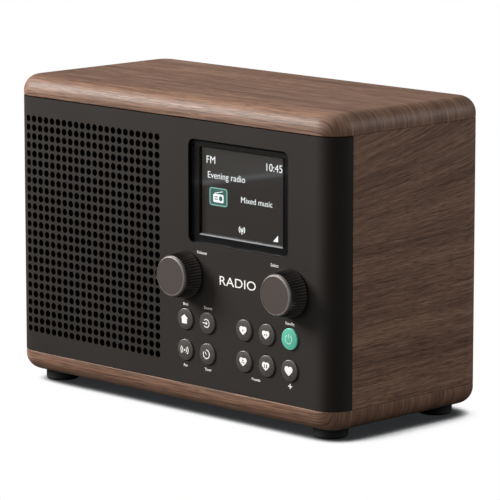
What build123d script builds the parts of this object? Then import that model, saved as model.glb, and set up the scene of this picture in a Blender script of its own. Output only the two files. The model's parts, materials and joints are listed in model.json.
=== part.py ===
from build123d import *
import math
import os

# Tabletop radio. Millimetres, +Z up, +Y from the front panel towards the back, +X to the right
# of someone facing the front. The origin is on the table, under the middle of the whole radio.

# Cabinet
WIDTH = 200.0
DEPTH = 94.5
FOOT_HEIGHT = 4.7
CABINET_HEIGHT = 135.0
BOARD = 9.2  # thickness of the wooden boards and side panels
CORNER_R = 11.0  # the four upright corners, in plan
EDGE_R = 7.3  # roundover of the top and bottom boards
SEAM = 0.3  # chamfer and gap where two cabinet pieces meet

# What stands out of the cabinet
KNOB_PROUD = 9.6
ANTENNA_PROUD = 9.0

FRONT = KNOB_PROUD - (KNOB_PROUD + DEPTH + ANTENNA_PROUD) / 2
BACK = FRONT + DEPTH
MID_Y = (FRONT + BACK) / 2
TOP = FOOT_HEIGHT + CABINET_HEIGHT
LOW_SEAM = FOOT_HEIGHT + BOARD
HIGH_SEAM = TOP - BOARD
INNER_X = WIDTH / 2 - BOARD

# Front panel
PANEL = 2.6
WRAP = 11.0  # how far the panel runs back along each side
LIP = 2.0  # thickness of the panel's inner lips
LIP_DEPTH = 16.0
POST_R = 3.5
POST_X = 84.0
POST_LOW = 18.7
POST_HIGH = 125.7
POST_END = FRONT + 40.0

# Perforated speaker area
HOLE_R = 1.55
HOLE_PITCH = 4.0
HOLE_COLUMNS = 22
HOLE_ROWS = 25
GRILLE_X = -48.5
GRILLE_Z = 72.4

# Controls and window, all centred on one upright line
CONTROL_X = 43.0
WINDOW_Z = 99.4
WINDOW = (60.2, 45.2, 3.2)  # width, height, corner radius
SCREEN = (50.4, 38.4)
LENS_RECESS = 0.4
LENS = 1.5
BORDER = 1.8  # depth of the display border behind the lens
SCREEN_FRONT = FRONT + LENS_RECESS + LENS + BORDER
MODULE = (58.0, 42.0, 0.4)  # the display module: width, height, corner radius
MODULE_DEPTH = 1.2
TRAY = (60.2, 42.8, 0.5)
TRAY_DEPTH = 3.2
BORDER_FLANGE = (68.0, 50.0, 2.0)
KNOB_OFFSET = 31.6
KNOB_Z = 62.5
BUTTON_COLUMNS = (-31.6, -18.0, 4.4, 18.0, 31.6)
BUTTON_ROWS = (42.6, 29.0)
BUTTON_NAMES = (
    ("home", "source", "preset_1", "preset_2", "standby"),
    ("pair", "timer", "preset_3", "preset_4", "favourite"),
)
BUTTON_R = 4.7
BUTTON_HOLE_R = 5.0
BUTTON_PROUD = 1.1
CROWN = 0.42  # how far the middle of a button's face stands beyond its rim
POST = 1.6  # radius of the post behind each button
FLANGE_R = 5.9  # keeps the button in its hole
FLANGE = 1.2
SWITCH = 6.0
SWITCH_DEPTH = 3.5
SWITCH_WELL_R = 1.75
PUSH_R = 2.0

# Knobs and their encoders
KNOB_GAP = 0.6
KNOB_BASE_R = 10.6
KNOB_FACE_R = 8.5
KNOB_RIDGES = 48
RIDGE_DEPTH = 0.6
COLLAR = 1.3  # depth of the smooth collar in front of the ridges
STEP_OUT = 0.7  # how far the ridges' front ends stand beyond the collar
KNOB_RECESS_R = 5.0  # clearance behind the knob for the encoder's nut
CAP_R = 8.1
CAP_SEAT = 0.6  # depth of the cap's seat in the skirt
CAP_DROP = 0.12  # how far the cap lies below the skirt's edge
SHAFT_R = 3.0
SHAFT_FLAT = 1.5  # from the axis to the flat of the D
SHAFT_REACH = 7.0  # how far the shaft stands in front of the panel
ENCODER = (13.4, 12.0)
BUSHING_R = 3.5
ENCODER_FRONT = FRONT + 6.0
BOARD_FRONT = FRONT + 12.5
CIRCUIT_BOARD = 1.6
CONTROL_BOARD = (-2.0, 88.0, 23.0, 76.0)  # left, right, bottom, top

# Speaker
SPEAKER_FRONT = FRONT + 7.5
CONE_R = 30.0
COIL_R = 12.0
BASKET_DEPTH = 20.0
FLANGE_SIZE = 77.0  # the basket's square flange
FLANGE_CORNER_R = 14.0
SPEAKER_OPENING_R = 36.0
SPEAKER_SCREW_REACH = 31.5
MAGNET_R = 25.0
MAGNET_DEPTH = 17.0
ROLL_R = 2.3  # the surround's half-roll
BAFFLE = (-88.0, -5.0, 16.6, 128.0)  # left, right, bottom, top

# Back cover and what is mounted on it
COVER = 2.5
WELL_R = 3.4  # of the four screw wells
VENTS = 9
VENT_PITCH = 5.0
VENT_X = 15.0  # of the first slot
VENT_Z = 44.0
VENT = (2.0, 34.0, 0.99)  # width, height, corner radius
COVER_Y = BACK - 0.6  # its outer face
MAIN_BOARD_Y = COVER_Y - 18.0
MAIN_BOARD = (-78.0, 20.0, 16.6, 76.0)  # left, right, bottom, top
TUNER = (30.0, 24.0, 1.0)  # width, height, corner radius
TUNER_PLACE = (-40.0, 52.0)
TUNER_DEPTH = 4.5
BAY_X = -42.0  # centre of the shallow bay that the sockets open into
BAY_WIDTH = 60.0
BAY_HEIGHT = 13.0
BAY_DEPTH = 2.0
SOCKET_Z = 26.0
POWER_X = -24.0
AUX_X = -46.0
HEADPHONE_X = -62.0
JACK_R = 1.8
JACK_NOSE_R = 3.8
JACK_BODY = (9.0, 8.0, 0.6)
SHELL = (9.6, 4.0, 1.9)  # the power inlet's shell: width, height, corner radius
JACK_DEPTH = 13.5

# Antenna, folded along the back
HINGE_X = 74.0
ANTENNA_Z = 116.0
ROD_Y = BACK + ANTENNA_PROUD - 3.5
TUBE_R = 3.0
TUBE_STEP = 0.45  # radius lost from one section to the next, wall and running clearance together
TUBE_CLEARANCE = 0.05
TUBE_LENGTH = 138.0
TURRET_R = 5.5

# Leads
SPEAKER_LEAD_R = 1.1
ANTENNA_LEAD_R = 0.9
RIBBON = 0.8  # thickness
RIBBON_WIDTH = 9.0
FLEX = 0.3
FLEX_WIDTH = 14.0

# Feet and screws
FOOT_R = 7.5
FOOT_X = 84.6
FOOT_INSET = 14.4  # from the front and back faces to the feet's centres
SCREW_R = 1.5
HEAD_R = 2.8
HEAD = 2.0


def box(x0, x1, y0, y1, z0, z1):
    """A block between three pairs of planes."""
    centre = Pos((x0 + x1) / 2, (y0 + y1) / 2, (z0 + z1) / 2)
    return centre * Box(x1 - x0, y1 - y0, z1 - z0)


def disc(x, z, radius, y0, y1):
    """A cylinder that runs front to back."""
    return Pos(x, (y0 + y1) / 2, z) * Rot(90, 0, 0) * Cylinder(radius, y1 - y0)


def upright(x, y, radius, z0, z1):
    """A cylinder that runs up and down."""
    return Pos(x, y, (z0 + z1) / 2) * Cylinder(radius, z1 - z0)


def rod(y, z, radius, x0, x1):
    """A cylinder that runs left to right."""
    return Pos((x0 + x1) / 2, y, z) * Rot(0, 90, 0) * Cylinder(radius, x1 - x0)


def plate(x, z, width, height, radius, y0, y1):
    """A rounded rectangle seen from the front, from y0 back to y1."""
    outline = RectangleRounded(width, height, radius)
    return Pos(x, y1, z) * Rot(90, 0, 0) * extrude(outline, y1 - y0)


def turned(x, z, profile):
    """A solid of revolution about a front-to-back axis. The profile is (radius, y) points."""
    outline = make_face(Polyline(*profile, close=True))
    return Pos(x, 0, z) * revolve(outline, Axis.Y)


def screw(x, z, head_y, length, direction):
    """A pan-head screw. Its shank runs from the head's seat in direction, +1 back or -1 forward."""
    ends = sorted((head_y, head_y + direction * length))
    head_ends = sorted((head_y, head_y - direction * HEAD))
    return disc(x, z, SCREW_R, *ends) + disc(x, z, HEAD_R, *head_ends)


def plan(inset):
    """The cabinet's outline seen from above, drawn inwards by inset."""
    outline = RectangleRounded(WIDTH - 2 * inset, DEPTH - 2 * inset, CORNER_R - inset)
    return Pos(0, MID_Y) * outline


# Cabinet boards


def cabinet_board():
    """A board with its seam side down at z = 0 and its rounded side up."""
    slab = extrude(plan(0), BOARD)
    slab = fillet(slab.faces().sort_by(Axis.Z)[-1].edges(), EDGE_R)
    return chamfer(slab.faces().sort_by(Axis.Z)[0].edges(), SEAM)


def foot_places():
    """The centres of the feet, seen from above."""
    return [(x, y) for x in (-FOOT_X, FOOT_X) for y in (FRONT + FOOT_INSET, BACK - FOOT_INSET)]


def top_board():
    return Pos(0, 0, HIGH_SEAM) * cabinet_board()


def bottom_board():
    board = Pos(0, 0, LOW_SEAM) * mirror(cabinet_board(), Plane.XY)
    for x, y in foot_places():
        board -= upright(x, y, SCREW_R, FOOT_HEIGHT, FOOT_HEIGHT + 7)
    return board


def side_panel(side):
    """side is +1 for the right-hand panel and -1 for the left-hand one."""
    strip = Pos(side * (INNER_X + BOARD / 2), MID_Y) * Rectangle(BOARD, DEPTH)
    strip -= Pos(0, FRONT) * Rectangle(WIDTH, 2 * (WRAP + SEAM))
    panel = Pos(0, 0, LOW_SEAM) * extrude(plan(0) & strip, HIGH_SEAM - LOW_SEAM)
    ends = panel.faces().sort_by(Axis.Z)
    return chamfer(ends[0].edges() + ends[-1].edges(), SEAM)


# Front panel


def post_places():
    """The four posts that tie the front panel to the back cover."""
    return [(x, z) for x in (-POST_X, POST_X) for z in (POST_LOW, POST_HIGH)]


def baffle_screw_places():
    return [(x, z) for x in (-70.0, -20.0) for z in (POST_LOW + 0.7, POST_HIGH - 0.5)]


def board_screw_places():
    return [(x, z) for x in (2.0, 84.0) for z in (29.0, 72.0)]


def button_places():
    """Name, x and z of each of the ten buttons."""
    places = []
    for names, z in zip(BUTTON_NAMES, BUTTON_ROWS):
        for name, offset in zip(names, BUTTON_COLUMNS):
            places.append((name, CONTROL_X + offset, z))
    return places


def knob_places():
    return (CONTROL_X - KNOB_OFFSET, CONTROL_X + KNOB_OFFSET)


def panel_skin():
    """The visible skin: flat in front and wrapped round both front corners."""
    shell = plan(0) - plan(PANEL)
    shell &= Pos(0, FRONT) * Rectangle(WIDTH, 2 * WRAP)
    height = HIGH_SEAM - LOW_SEAM - 2 * SEAM
    return Pos(0, 0, LOW_SEAM + SEAM) * extrude(shell, height)


def front_panel():
    """The skin with its lips, posts and bosses, then every opening."""
    panel = panel_skin()
    inside = FRONT + PANEL
    for z in (LOW_SEAM + SEAM, HIGH_SEAM - SEAM - LIP):
        panel += box(-86, 86, inside, FRONT + LIP_DEPTH, z, z + LIP)
    for x, z in post_places():
        panel += disc(x, z, POST_R, inside, POST_END)
        panel -= disc(x, z, SCREW_R, POST_END - 12, POST_END)
    for x, z in baffle_screw_places():
        panel += disc(x, z, 2.9, inside, FRONT + 5)
        panel -= disc(x, z, SCREW_R, FRONT + 1.5, FRONT + 5)
    for x, z in board_screw_places():
        panel += disc(x, z, 3.2, inside, BOARD_FRONT)
        panel -= disc(x, z, SCREW_R, BOARD_FRONT - 7, BOARD_FRONT)
    panel -= plate(CONTROL_X, WINDOW_Z, *WINDOW, FRONT - 1, inside + 1)
    for x in knob_places():
        panel -= disc(x, KNOB_Z, 3.8, FRONT - 1, inside + 1)
    for _, x, z in button_places():
        panel -= disc(x, z, BUTTON_HOLE_R, FRONT - 1, inside + 1)
    grid = GridLocations(HOLE_PITCH, HOLE_PITCH, HOLE_COLUMNS, HOLE_ROWS)
    facing = Pos(GRILLE_X, inside, GRILLE_Z) * Rot(90, 0, 0)
    return panel - [facing * place * Cylinder(HOLE_R, 2.2 * PANEL) for place in grid.locations]


def grille_cloth():
    """Thin cloth on the inner face of the perforations, following the corner."""
    sheet = plan(PANEL) - plan(PANEL + 0.4)
    sheet &= Pos(-49, FRONT) * Rectangle(88, 2 * 5.5)
    return Pos(0, 0, 22.7) * extrude(sheet, 99.2)


# Display


def window_lens():
    width, height, radius = WINDOW
    front = FRONT + LENS_RECESS
    lens = plate(CONTROL_X, WINDOW_Z, width - 0.2, height - 0.2, radius - 0.1, front, front + LENS)
    return chamfer(lens.faces().sort_by(Axis.Y)[0].edges(), 0.25)


def display_bezel():
    """The black border: a plug in the window, a flange behind it and a rim round the module."""
    width, height, radius = WINDOW
    front = FRONT + LENS_RECESS + LENS
    back = SCREEN_FRONT + TRAY_DEPTH + 0.2
    bezel = plate(CONTROL_X, WINDOW_Z, width - 0.2, height - 0.2, radius - 0.1, front, SCREEN_FRONT)
    bezel += plate(CONTROL_X, WINDOW_Z, *BORDER_FLANGE, FRONT + PANEL, back)
    bezel -= plate(CONTROL_X, WINDOW_Z, *SCREEN, 0.6, front - 1, SCREEN_FRONT + 1)
    width, height, radius = TRAY
    return bezel - plate(CONTROL_X, WINDOW_Z, width + 0.4, height + 0.4, radius, SCREEN_FRONT, back + 1)


def lcd_panel():
    return plate(CONTROL_X, WINDOW_Z, *MODULE, SCREEN_FRONT, SCREEN_FRONT + MODULE_DEPTH)


def lcd_backlight():
    """The tray that the module lies in."""
    tray = plate(CONTROL_X, WINDOW_Z, *TRAY, SCREEN_FRONT, SCREEN_FRONT + TRAY_DEPTH)
    return tray - plate(CONTROL_X, WINDOW_Z, *MODULE, SCREEN_FRONT - 1, SCREEN_FRONT + MODULE_DEPTH)


# Knobs


def ridged_outline(radius):
    """A circle of fine V ridges."""
    points = []
    for i in range(2 * KNOB_RIDGES):
        reach = radius - RIDGE_DEPTH * (i % 2)
        angle = math.pi * i / KNOB_RIDGES
        points.append((reach * math.cos(angle), reach * math.sin(angle)))
    return make_face(Polyline(*points, close=True))


def d_shaft(x, y0, y1):
    """The D-shaped end of an encoder's shaft."""
    flat = box(x - 5, x + 5, y0, y1, KNOB_Z + SHAFT_FLAT, KNOB_Z + 5)
    return disc(x, KNOB_Z, SHAFT_R, y0, y1) - flat


def knob(x):
    """The ridged skirt. It stands on the shaft, clear of the panel, with a seat for its cap."""
    length = KNOB_PROUD - KNOB_GAP - COLLAR
    base = ridged_outline(KNOB_BASE_R)
    end = Pos(0, 0, length) * ridged_outline(KNOB_FACE_R + STEP_OUT)
    skirt = Pos(x, FRONT - KNOB_GAP, KNOB_Z) * Rot(90, 0, 0) * loft([base, end], ruled=True)
    face = FRONT - KNOB_PROUD
    back = face + COLLAR + 0.2
    collar = turned(
        x,
        KNOB_Z,
        [(0, back), (0, face), (KNOB_FACE_R - 0.3, face), (KNOB_FACE_R + 0.1, face + 0.5),
         (KNOB_FACE_R, back)],
    )
    skirt += collar
    skirt -= disc(x, KNOB_Z, CAP_R, face - 1, face + CAP_SEAT)
    skirt -= disc(x, KNOB_Z, KNOB_RECESS_R, FRONT - KNOB_GAP - 2.5, FRONT)
    return skirt - d_shaft(x, FRONT - SHAFT_REACH, FRONT)


def knob_cap(x):
    """The satin face disc, set a hair below the bright edge of the skirt."""
    face = FRONT - KNOB_PROUD
    cap = disc(x, KNOB_Z, CAP_R, face + CAP_DROP, face + CAP_SEAT)
    return chamfer(cap.faces().sort_by(Axis.Y)[0].edges(), 0.1)


def shaft(x):
    """Round in the encoder and D-shaped in the knob."""
    collar = FRONT + 1.0
    return d_shaft(x, FRONT - SHAFT_REACH, collar) + disc(x, KNOB_Z, SHAFT_R, collar, BOARD_FRONT - 1.0)


def encoder(x):
    """Square body with a round bushing that the shaft turns in."""
    bore = SHAFT_R + TUBE_CLEARANCE
    body = plate(x, KNOB_Z, *ENCODER, 0.8, ENCODER_FRONT, BOARD_FRONT)
    body += disc(x, KNOB_Z, BUSHING_R, FRONT + 1.2, ENCODER_FRONT)
    return body - disc(x, KNOB_Z, bore, FRONT, BOARD_FRONT + 1)


def select_push_contact():
    """The small plunger that the select shaft's end pushes into the board's switch."""
    x = knob_places()[1]
    return disc(x, KNOB_Z, PUSH_R, BOARD_FRONT - 1.0, BOARD_FRONT + CIRCUIT_BOARD + 0.6)


# Buttons


def button(x, z):
    """A cap with a crowned face, a flange that keeps it in and a post to its switch."""
    face = FRONT - BUTTON_PROUD
    rim = face + CROWN
    flange = FRONT + PANEL + 0.1
    back = flange + FLANGE
    end = BOARD_FRONT - 1.0
    crown = ThreePointArc((0, face), (BUTTON_R / 2, face + CROWN / 4), (BUTTON_R, rim))
    rest = Polyline(
        (BUTTON_R, rim), (BUTTON_R, flange), (FLANGE_R, flange), (FLANGE_R, back), (POST, back), (POST, end),
        (0, end), (0, face),
    )
    outline = make_face(crown + rest)
    corner = outline.vertices().sort_by_distance((BUTTON_R, rim))[0]
    return Pos(x, 0, z) * revolve(fillet(corner, 0.4), Axis.Y)


def tact_switches():
    """Ten switch bodies, each with a round well for its button's post."""
    bodies = []
    for _, x, z in button_places():
        body = plate(x, z, SWITCH, SWITCH, 0.4, BOARD_FRONT - SWITCH_DEPTH, BOARD_FRONT)
        bodies.append(body - disc(x, z, SWITCH_WELL_R, BOARD_FRONT - 4, BOARD_FRONT - 0.4))
    return Compound(bodies)


def control_board():
    """The board that carries the switches and encoders, on the front panel's bosses."""
    x0, x1, z0, z1 = CONTROL_BOARD
    board = box(x0, x1, BOARD_FRONT, BOARD_FRONT + CIRCUIT_BOARD, z0, z1)
    for x, z in board_screw_places():
        board -= disc(x, z, SCREW_R, BOARD_FRONT - 1, BOARD_FRONT + 3)
    push = knob_places()[1]
    return board - disc(push, KNOB_Z, PUSH_R + 0.3, BOARD_FRONT - 1, BOARD_FRONT + 3)


# Speaker


def speaker_screw_places():
    reach = SPEAKER_SCREW_REACH
    return [(GRILLE_X + i * reach, GRILLE_Z + j * reach) for i in (-1, 1) for j in (-1, 1)]


def speaker_baffle():
    """The plate behind the cloth that carries the speaker."""
    x0, x1, z0, z1 = BAFFLE
    baffle = box(x0, x1, FRONT + 5, SPEAKER_FRONT, z0, z1)
    baffle -= disc(GRILLE_X, GRILLE_Z, SPEAKER_OPENING_R - 1, FRONT, SPEAKER_FRONT + 1)
    for x, z in post_places():
        baffle -= disc(x, z, POST_R + 0.3, FRONT, SPEAKER_FRONT + 1)
    for x, z in baffle_screw_places() + speaker_screw_places():
        baffle -= disc(x, z, SCREW_R, FRONT, SPEAKER_FRONT + 1)
    return baffle


def speaker_basket():
    """Square flange, open conical frame with six windows and a seat for the magnet."""
    y = SPEAKER_FRONT
    back = y + BASKET_DEPTH
    frame = turned(
        GRILLE_X,
        GRILLE_Z,
        [(36.7, y + 1), (38.2, y + 1), (38.2, y + 2.4), (24.0, back - 2), (24.0, back),
         (14.5, back), (14.5, back - 1.2), (22.8, back - 1.2), (22.8, back - 2.4), (36.7, y + 2.4)],
    )
    windows = []
    for i in range(6):
        turn = Rot(0, 60 * i, 0)
        windows.append(turn * box(12, 45, y + 4, y + 16.5, -7.5, 7.5))
    frame -= Pos(GRILLE_X, 0, GRILLE_Z) * Compound(windows)
    flange = plate(GRILLE_X, GRILLE_Z, FLANGE_SIZE, FLANGE_SIZE, FLANGE_CORNER_R, y, y + 1.4)
    flange -= disc(GRILLE_X, GRILLE_Z, SPEAKER_OPENING_R, y - 1, y + 2)
    for x, z in speaker_screw_places():
        flange -= disc(x, z, SCREW_R, y - 1, y + 2)
    terminal = box(GRILLE_X - 5, GRILLE_X + 5, back - 1.4, back, GRILLE_Z - 31, GRILLE_Z - 22)
    return frame + flange + terminal


def speaker_magnet():
    """Ring magnet with its plates and pole piece; the voice coil works in the gap."""
    y = SPEAKER_FRONT + BASKET_DEPTH
    magnet = disc(GRILLE_X, GRILLE_Z, MAGNET_R, y, y + MAGNET_DEPTH)
    gap = disc(GRILLE_X, GRILLE_Z, COIL_R + 1.6, y - 1, y + 12)
    gap -= disc(GRILLE_X, GRILLE_Z, COIL_R - 1.1, y - 2, y + 13)
    groove = disc(GRILLE_X, GRILLE_Z, MAGNET_R + 1, y + 3, y + 4)
    groove -= disc(GRILLE_X, GRILLE_Z, MAGNET_R - 0.8, y, y + 6)
    back_groove = Pos(0, 9.5, 0) * groove
    return magnet - gap - groove - back_groove


def speaker_cone():
    y = SPEAKER_FRONT
    return turned(
        GRILLE_X,
        GRILLE_Z,
        [(COIL_R + 0.7, y + 15), (CONE_R, y + 1.6), (CONE_R, y + 2.2), (COIL_R + 0.7, y + 15.8)],
    )


def speaker_surround():
    """The soft half-roll between the cone and the basket."""
    y = SPEAKER_FRONT
    roll = Pos(0, y + 2.2) * (Circle(ROLL_R) - Circle(ROLL_R - 0.5))
    roll &= Pos(0, y + 0.7) * Rectangle(6, 3)
    lip = Pos(3.2, y + 1.65) * Rectangle(2.4, 0.5)
    section = Pos(CONE_R + ROLL_R, 0) * (roll + lip)
    return Pos(GRILLE_X, 0, GRILLE_Z) * revolve(section, Axis.Y)


def speaker_dust_cap():
    y = SPEAKER_FRONT + 15
    ball = Pos(GRILLE_X, y + 9, GRILLE_Z) * (Sphere(15.0) - Sphere(14.5))
    return ball & disc(GRILLE_X, GRILLE_Z, COIL_R + 0.6, y - 8, y - 0.2)


def voice_coil():
    y = SPEAKER_FRONT + 15
    former = disc(GRILLE_X, GRILLE_Z, COIL_R + 0.6, y - 0.1, y + 14)
    return former - disc(GRILLE_X, GRILLE_Z, COIL_R, y - 1, y + 15)


# Back cover, main board and sockets


def main_board_screw_places():
    return [(x, z) for x in (-74.0, 4.0) for z in (42.0, 72.0)]


def back_cover():
    """The rear panel, inset between the boards, with deep screw wells and a socket bay."""
    inner = COVER_Y - COVER
    width = 2 * INNER_X - 0.4
    height = HIGH_SEAM - LOW_SEAM - 0.4
    middle = (HIGH_SEAM + LOW_SEAM) / 2
    cover = plate(0, middle, width, height, 1.5, inner, COVER_Y)
    cover = chamfer(cover.faces().sort_by(Axis.Y)[-1].edges(), 0.4)
    rim = plate(0, middle, width, height, 1.5, inner - 6, inner)
    rim -= plate(0, middle, width - 4, height - 4, 0.5, inner - 7, inner + 1)
    cover += rim
    for x, z in post_places():
        cover += disc(x, z, WELL_R + 1, POST_END, inner)
        cover -= disc(x, z, WELL_R, POST_END + 3, COVER_Y + 1)
        cover -= disc(x, z, SCREW_R + 0.2, POST_END - 1, POST_END + 4)
    for x, z in main_board_screw_places():
        cover += disc(x, z, 3.2, MAIN_BOARD_Y + CIRCUIT_BOARD, inner)
        cover -= disc(x, z, SCREW_R, MAIN_BOARD_Y, MAIN_BOARD_Y + CIRCUIT_BOARD + 7)
    floor = COVER_Y - BAY_DEPTH
    cover += plate(BAY_X, SOCKET_Z, BAY_WIDTH + 5, BAY_HEIGHT + 4, 2, floor - COVER, inner)
    cover -= plate(BAY_X, SOCKET_Z, BAY_WIDTH, BAY_HEIGHT, 2.5, floor, COVER_Y + 1)
    width, height, radius = SHELL
    cover -= plate(POWER_X, SOCKET_Z, width + 0.6, height + 0.6, radius + 0.35, floor - COVER - 1, COVER_Y)
    for x in (AUX_X, HEADPHONE_X):
        cover -= disc(x, SOCKET_Z, JACK_NOSE_R + 0.2, floor - COVER - 1, COVER_Y)
    for i in range(VENTS):
        cover -= plate(VENT_X + VENT_PITCH * i, VENT_Z, *VENT, inner - 1, COVER_Y + 1)
    cover -= disc(HINGE_X, ANTENNA_Z, TURRET_R + 0.3, COVER_Y - 1.2, COVER_Y + 1)
    return cover - disc(HINGE_X, ANTENNA_Z, 3.05, inner - 1, COVER_Y + 1)


def main_board():
    """The board behind the back cover that carries the tuner, amplifier and sockets."""
    y = MAIN_BOARD_Y
    x0, x1, z0, z1 = MAIN_BOARD
    board = box(x0, x1, y, y + CIRCUIT_BOARD, z0, z1)
    for x, z in main_board_screw_places():
        board -= disc(x, z, SCREW_R, y - 1, y + 3)
    return board


def tuner_module():
    """The shielded receiver can on the main board."""
    y = MAIN_BOARD_Y
    width, height, radius = TUNER
    can = plate(*TUNER_PLACE, *TUNER, y - TUNER_DEPTH, y)
    inside = plate(*TUNER_PLACE, width - 1, height - 1, radius / 2, y - TUNER_DEPTH + 0.4, y - 0.6)
    return can - inside


def jack_socket(x):
    """A 3.5 mm socket, with its nose in the cover's hole."""
    nose = COVER_Y - BAY_DEPTH
    body = plate(x, SOCKET_Z, *JACK_BODY, MAIN_BOARD_Y + CIRCUIT_BOARD, nose - COVER)
    body += disc(x, SOCKET_Z, JACK_NOSE_R, nose - COVER, nose)
    return body - disc(x, SOCKET_Z, JACK_R, nose - JACK_DEPTH, nose + 1)


def power_inlet():
    """A reversible low-voltage inlet: a rounded metal shell round a contact tongue."""
    face = COVER_Y - BAY_DEPTH
    y0 = face - 8
    width, height, radius = SHELL
    shell = plate(POWER_X, SOCKET_Z, *SHELL, y0, face)
    shell -= plate(POWER_X, SOCKET_Z, width - 0.7, height - 0.7, radius - 0.3, y0 + 0.8, face + 1)
    shell += plate(POWER_X, SOCKET_Z, 6.6, 0.8, 0.2, y0 + 0.5, face - 1)
    stem = plate(POWER_X, SOCKET_Z, 8.6, 3.2, 1.0, MAIN_BOARD_Y + CIRCUIT_BOARD, y0 + 0.4)
    return shell + stem


# Antenna


def antenna_turret():
    """The swivel: a stem through the cover, a disc outside it and a fork for the hinge."""
    outside = COVER_Y - 1.0
    turret = disc(HINGE_X, ANTENNA_Z, TURRET_R, outside, BACK + 1.0)
    turret += disc(HINGE_X, ANTENNA_Z, 3.0, COVER_Y - COVER - 1.2, outside)
    turret += disc(HINGE_X, ANTENNA_Z, 4.6, COVER_Y - COVER - 2.2, COVER_Y - COVER - 0.2)
    for side in (-1, 1):
        low, high = sorted((ANTENNA_Z + side * 1.6, ANTENNA_Z + side * 3.6))
        ear = upright(HINGE_X, ROD_Y, 3.5, low, high)
        ear += box(HINGE_X - 3.5, HINGE_X + 3.5, BACK + 0.5, ROD_Y, low, high)
        turret += ear
    return turret - upright(HINGE_X, ROD_Y, 1.0, ANTENNA_Z - 6, ANTENNA_Z + 6)


def antenna_pin():
    """The rivet that the antenna tilts on."""
    return upright(HINGE_X, ROD_Y, 1.0, ANTENNA_Z - 3.6, ANTENNA_Z + 3.6)


def antenna_knuckle():
    """The flat eye in the fork, widening into the plug of the first tube."""
    eye = upright(HINGE_X, ROD_Y, 3.0, ANTENNA_Z - 1.5, ANTENNA_Z + 1.5)
    neck = box(HINGE_X - 5.2, HINGE_X, ROD_Y - 2.4, ROD_Y + 2.4, ANTENNA_Z - 1.5, ANTENNA_Z + 1.5)
    plug = rod(ROD_Y, ANTENNA_Z, TUBE_R, HINGE_X - 8.0, HINGE_X - 5.0)
    plug += rod(ROD_Y, ANTENNA_Z, TUBE_R - TUBE_STEP + TUBE_CLEARANCE, HINGE_X - 12.0, HINGE_X - 8.0)
    return eye + neck + plug - upright(HINGE_X, ROD_Y, 1.05, ANTENNA_Z - 3, ANTENNA_Z + 3)


def section_radius(number):
    return TUBE_R - TUBE_STEP * (number - 1)


def antenna_tube(number):
    """Section 1 is the widest. Each later one slides in the one before."""
    root = HINGE_X - 8.0 if number == 1 else HINGE_X - 12.5 - 0.5 * number
    tip = HINGE_X - 8.0 - TUBE_LENGTH - 1.2 * (number - 1)
    bore = section_radius(number + 1) + TUBE_CLEARANCE
    tube = rod(ROD_Y, ANTENNA_Z, section_radius(number), tip, root)
    return tube - rod(ROD_Y, ANTENNA_Z, bore, tip - 1, root + 1)


def antenna_tip():
    """The solid last section with its round end knob."""
    tip = HINGE_X - 8.0 - TUBE_LENGTH - 4.8
    stem = rod(ROD_Y, ANTENNA_Z, section_radius(5), tip, HINGE_X - 15.0)
    end = fillet(rod(ROD_Y, ANTENNA_Z, 2.9, tip - 5.5, tip).edges(), 0.8)
    return stem + end


# Leads


def swept(points, radii, radius):
    """A round lead along straight runs and arcs."""
    path = FilletPolyline(*points, radius=radii)
    section = Plane(origin=path @ 0, z_dir=path % 0) * Circle(radius)
    return sweep(section, path=path)


def speaker_lead():
    """The two-core lead from the speaker's terminal to the main board, as one round lead."""
    start = SPEAKER_FRONT + BASKET_DEPTH
    z = GRILLE_Z - 29
    points = [(GRILLE_X, start, z), (GRILLE_X, start + 12, z),
              (GRILLE_X - 8, MAIN_BOARD_Y - 12, z - 5), (GRILLE_X - 8, MAIN_BOARD_Y, z - 5)]
    return swept(points, [26, 26], SPEAKER_LEAD_R)


def antenna_lead():
    """The coaxial lead from the antenna's stem to the tuner module."""
    stem = COVER_Y - COVER - 2.2
    can = MAIN_BOARD_Y - TUNER_DEPTH
    points = [(HINGE_X, stem, ANTENNA_Z), (HINGE_X, stem - 16, ANTENNA_Z),
              (HINGE_X - 28, can - 6, ANTENNA_Z - 10), (6, can - 14, 86), (-24, can - 18, 62),
              (-38, can - 12, 56), (-38, can, 56)]
    return swept(points, [7, 40, 60, 24, 8], ANTENNA_LEAD_R)


def ribbon_cable():
    """The flat cable from the control board back to the main board."""
    front = BOARD_FRONT + CIRCUIT_BOARD
    points = [(front, 70), (front + 10, 70), (MAIN_BOARD_Y - 24, 64), (MAIN_BOARD_Y, 64)]
    path = FilletPolyline(*points, radius=[30, 40])
    return Plane.YZ * Pos(0, 0, 8) * extrude(trace(path, RIBBON), RIBBON_WIDTH)


def display_flex():
    """The thin flat cable from the display down to the control board's face."""
    back = SCREEN_FRONT + TRAY_DEPTH + 0.15
    points = [(back, 90), (back, 81), (BOARD_FRONT - 0.15, 76), (BOARD_FRONT - 0.15, 70)]
    path = FilletPolyline(*points, radius=2.5)
    return Plane.YZ * Pos(0, 0, CONTROL_X - 7) * extrude(trace(path, FLEX), FLEX_WIDTH)


# Feet and screws


def feet():
    """Four round feet, each with a well for its screw."""
    pads = []
    for x, y in foot_places():
        pad = fillet(upright(x, y, FOOT_R, 0, FOOT_HEIGHT).edges().sort_by(Axis.Z)[0], 1.2)
        pad -= upright(x, y, HEAD_R + 0.3, -1, 2.6)
        pads.append(pad - upright(x, y, SCREW_R, 1, FOOT_HEIGHT + 1))
    return Compound(pads)


def foot_screws():
    screws = []
    for x, y in foot_places():
        shank = upright(x, y, SCREW_R, 2.6, FOOT_HEIGHT + 6.5)
        screws.append(shank + upright(x, y, HEAD_R, 0.8, 2.6))
    return Compound(screws)


def cover_screws():
    """The four screws at the bottom of the back cover's wells."""
    return Compound([screw(x, z, POST_END + 3, 13, -1) for x, z in post_places()])


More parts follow.
